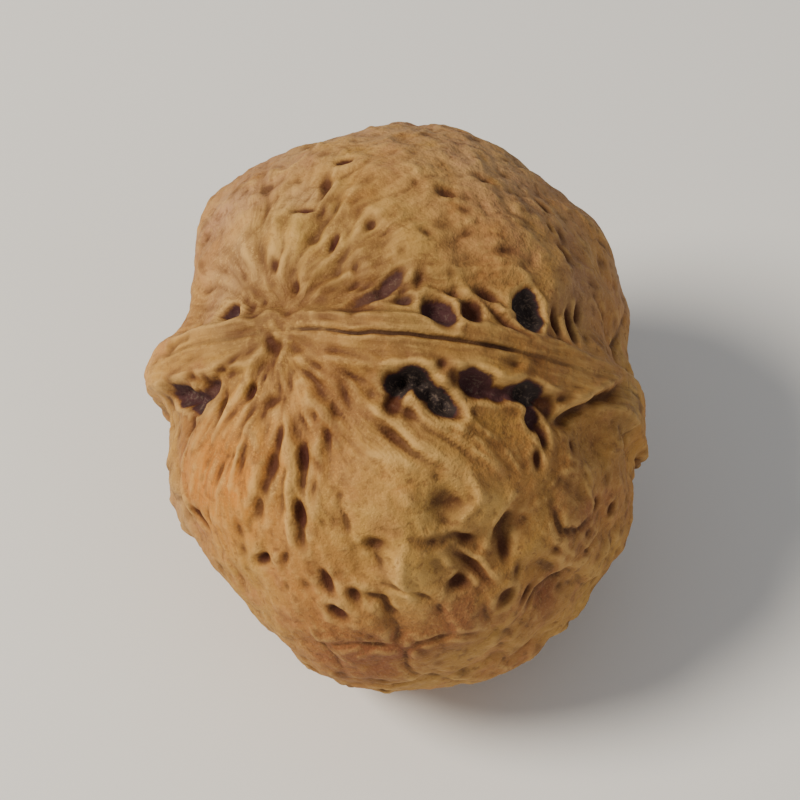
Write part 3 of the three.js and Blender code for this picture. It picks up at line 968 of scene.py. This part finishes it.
# the noises and the fibres that the colour, the roughness and the bumps share
def shellGrain(shader):
    scales, fibreScales = shellPaint["scales"], shellPaint["fibreScales"]
    step, attribute = shader.step, shader.attribute
    place = shader.node("ShaderNodeTexCoord", result="Object")
    fibre = attribute("fibre", "Vector")
    seamFibre = attribute("seamFibre", "Vector")
    welt = attribute("welt")
    fromStem = attribute("fromStem")

    broad = shader.noise(place, scales["broad"], 2.0)
    patches = shader.noise(place, scales["patches"], 3.0, 0.6)
    weathered = shader.noise(place, scales["weathered"], 3.0, 0.55)
    speckle = shader.noise(place, scales["speckle"], 3.0, 0.65)
    grit = shader.noise(place, scales["grit"], 2.0, 0.6)
    # fibres: finer far from the stem, none at the stem scar, and along the seam on the welt
    fineFan = shader.noise(shader.scaled(fibre, fibreScales["fineFan"]), 1.0, 2.0, 0.5)
    wideFan = shader.noise(shader.scaled(fibre, fibreScales["wideFan"]), 1.0, 3.0, 0.5)
    fan = wideFan + step(fromStem, 14, 34) * (fineFan - wideFan)
    fan = speckle + step(fromStem, 3, 9) * (fan - speckle)
    ribbon = shader.noise(shader.scaled(seamFibre, fibreScales["ribbon"]), 1.0, 3.0, 0.6)
    strands = fan + welt * (ribbon - fan)
    # away from the ends and the seam the fibres fade into plain mottling
    fibrous = 0.25 + 0.75 * attribute("fan") + 0.75 * welt
    strands = speckle + step(fibrous, 0, 1) * (strands - speckle)
    return dict(broad=broad, patches=patches, weathered=weathered, speckle=speckle, grit=grit,
                strands=strands)


def woodColour(shader, grain):
    colours, amounts = shellPaint, shellPaint["amounts"]
    step, mix, attribute = shader.step, shader.mix, shader.attribute
    patches, weathered, speckle = grain["patches"], grain["weathered"], grain["speckle"]
    grit, strands = grain["grit"], grain["strands"]
    crevice = attribute("crevice")

    colour = mix(step(grain["broad"], 0.38, 0.62), colours["tan"], colours["straw"])
    colour = mix(step(patches, 0.50, 0.70) * amounts["rose"], colour, colours["rose"])
    colour = mix(step(weathered, 0.54, 0.70) * amounts["umberAndShade"], colour, colours["umberAndShade"])
    colour = mix(step(weathered, 0.46, 0.32) * amounts["honey"], colour, colours["honey"])
    # tinted patches, among them painted shade in hollows and painted highlights on swellings
    for tint in colours["tints"]:
        colour = mix(attribute(tint) * step(patches, 0.20, 0.52), colour, colours[tint])
    # painted highlight on what stands proud and on the strands' tops, painted shade between the strands and
    # in the hollows, and dirt with painted shade in the crevices
    colour = mix(step(crevice, 0.0, -0.12) * amounts["proud"], colour, colours["pale"])
    colour = mix(step(strands, 0.52, 0.68) * amounts["strandTops"], colour, colours["pale"])
    colour = mix(step(strands, 0.50, 0.32) * amounts["strandGaps"], colour, colours["hollow"])
    colour = mix(step(attribute("hollow"), 0.02, 0.38) * amounts["hollows"], colour, colours["hollow"])
    ragged = crevice + (speckle - 0.5) * 0.05
    colour = mix(step(ragged, 0.02, 0.13) * amounts["crevices"], colour, colours["furrow"])
    # darker in the fibres' creases: dirt with painted shade
    creases = attribute("crease") * step(grit, 0.34, 0.50)
    colour = mix(creases * amounts["creases"], colour, colours["hollow"])
    colour = mix(step(speckle, 0.46, 0.32) * amounts["specks"], colour, colours["hollow"])
    colour = mix(step(grit, 0.54, 0.70) * amounts["paleGrit"], colour, colours["pale"])
    scar = attribute("scar") * step(speckle, 0.58, 0.40)
    colour = mix(scar * amounts["scar"], colour, colours["hollow"])
    # painted shade along the grooves
    return mix(attribute("lineTone") * step(speckle, 0.20, 0.50), colour, colours["furrow"])


# the pits: darker round the shallow ones and a pale rim round the dark ones, then the floor,
# browner by its edge and dusty where it is darkest
def addPitColour(shader, grain, colour):
    colours, amounts = shellPaint, shellPaint["amounts"]
    step, mix = shader.step, shader.mix
    speckle, grit = grain["speckle"], grain["grit"]
    pitTone = shader.attribute("pitTone")
    pitHue = shader.attribute("pitHue")

    edge = shader.attribute("pitEdge") + (speckle - 0.5) * 0.36 + (grit - 0.5) * 0.12
    darkening = step(edge, -0.45, 0.06) * pitTone * (1.15 - pitTone)
    rim = step(edge, -0.50, -0.26) * step(edge, -0.04, -0.22) * pitHue
    colour = mix(darkening * amounts["pitDarkening"], colour, colours["hollow"])
    colour = mix(rim * amounts["pitRim"], colour, colours["pale"])
    soft = (1 - pitTone) * 0.35 + (1 - pitHue) * 0.07
    pit = step(edge, -0.07 - soft, 0.13 + soft) * pitTone
    hue = (pitHue + (speckle - 0.5) * 0.4) * step(edge, -0.06, 0.22)
    floor = mix(step(hue, 0.20, 0.48), colours["pitBrown"], colours["pitPurple"])
    floor = mix(step(hue, 0.62, 0.90), floor, colours["pitBlack"])
    dust = step(grit, 0.50, 0.66) * step(edge, 0.15, 0.50) * pitHue
    floor = mix(dust * amounts["pitDust"], floor, colours["dust"])
    return mix(pit, colour, floor), pit


# the dark line in the middle of the seam
def addSeamLine(shader, grain, colour):
    side = shader.attribute("crackSide") + (grain["speckle"] - 0.5) * 0.10
    line = shader.step(side * side, 0.032, 0.006) * shader.attribute("crack")
    return shader.mix(line, colour, shellPaint["crack"])


def shellMaterial():
    shader = Shader("walnutShell")
    grain = shellGrain(shader)
    colour, pit = addPitColour(shader, grain, woodColour(shader, grain))
    colour = addSeamLine(shader, grain, colour)

    surface = shader.surface
    shader.plug(surface, "Base Color", colour)
    roughness = shellPaint["roughness"] + 0.14 * grain["patches"] + 0.12 * grain["strands"] + 0.10 * pit
    shader.plug(surface, "Roughness", roughness)
    surface.inputs["Specular IOR Level"].default_value = shellPaint["specular"]

    normal = None
    for name, (strength, distance) in shellPaint["bumps"].items():
        normal = shader.bump(grain[name], strength, distance, normal)
    shader.plug(surface, "Normal", normal)
    return shader.material


shell = makeShell()
shell.data.materials.append(shellMaterial())
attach(shell, "root")
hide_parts("walnut")
print("shell placed and painted")


studio = dict(
    floorColour=(0.80, 0.79, 0.77, 1), floorSize=3.0, floorRoughness=0.8,
    worldColour=(0.96, 0.98, 1.0, 1), worldStrength=0.33,
    keyPlace=(-0.33, -0.09, 0.39), keySize=0.18, keyPower=3.5, keyColour=(1.0, 0.92, 0.79),
    fillPlace=(0.40, -0.35, 0.30), fillSize=0.5, fillPower=0.45, fillColour=(1.0, 1.0, 1.0),
    cameraDistance=0.168, cameraElevation=52, lens=105,
)


def addFloor():
    size = studio["floorSize"] / 2
    corners = [(-size, -size, 0), (size, -size, 0), (size, size, 0), (-size, size, 0)]
    mesh = bpy.data.meshes.new("floor")
    mesh.from_pydata(corners, [], [(0, 1, 2, 3)])
    floor = bpy.data.objects.new("floor", mesh)
    bpy.context.scene.collection.objects.link(floor)
    shader = Shader("paleFloor")
    shader.surface.inputs["Base Color"].default_value = studio["floorColour"]
    shader.surface.inputs["Roughness"].default_value = studio["floorRoughness"]
    mesh.materials.append(shader.material)


def addWorld():
    world = bpy.data.worlds.new("studio")
    world.use_nodes = True
    backdrop = world.node_tree.nodes["Background"]
    backdrop.inputs["Color"].default_value = studio["worldColour"]
    backdrop.inputs["Strength"].default_value = studio["worldStrength"]
    bpy.context.scene.world = world


def addLight(name, target):
    light = bpy.data.lights.new(name, "AREA")
    light.shape = "DISK"
    light.size = studio[name + "Size"]
    light.energy = studio[name + "Power"]
    light.color = studio[name + "Colour"]
    lamp = bpy.data.objects.new(name, light)
    lamp.location = studio[name + "Place"]
    lamp.rotation_mode = "QUATERNION"
    lamp.rotation_quaternion = (target - lamp.location).to_track_quat("-Z", "Y")
    bpy.context.scene.collection.objects.link(lamp)


def addCamera(target):
    camera = bpy.data.cameras.new("camera")
    camera.lens = studio["lens"]
    camera.clip_start = 0.01
    eye = bpy.data.objects.new("camera", camera)
    rise = math.radians(studio["cameraElevation"])
    away = studio["cameraDistance"]
    eye.location = target + away * Vector((0, -math.cos(rise), math.sin(rise)))
    eye.rotation_euler = (math.pi / 2 - rise, 0, 0)
    bpy.context.scene.collection.objects.link(eye)
    bpy.context.scene.camera = eye


low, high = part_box("walnut")
nutMiddle = (Vector(low) + Vector(high)) / 2
addFloor()
addWorld()
addLight("key", nutMiddle)
addLight("fill", nutMiddle)
addCamera(nutMiddle)
print("floor, lights and camera set")
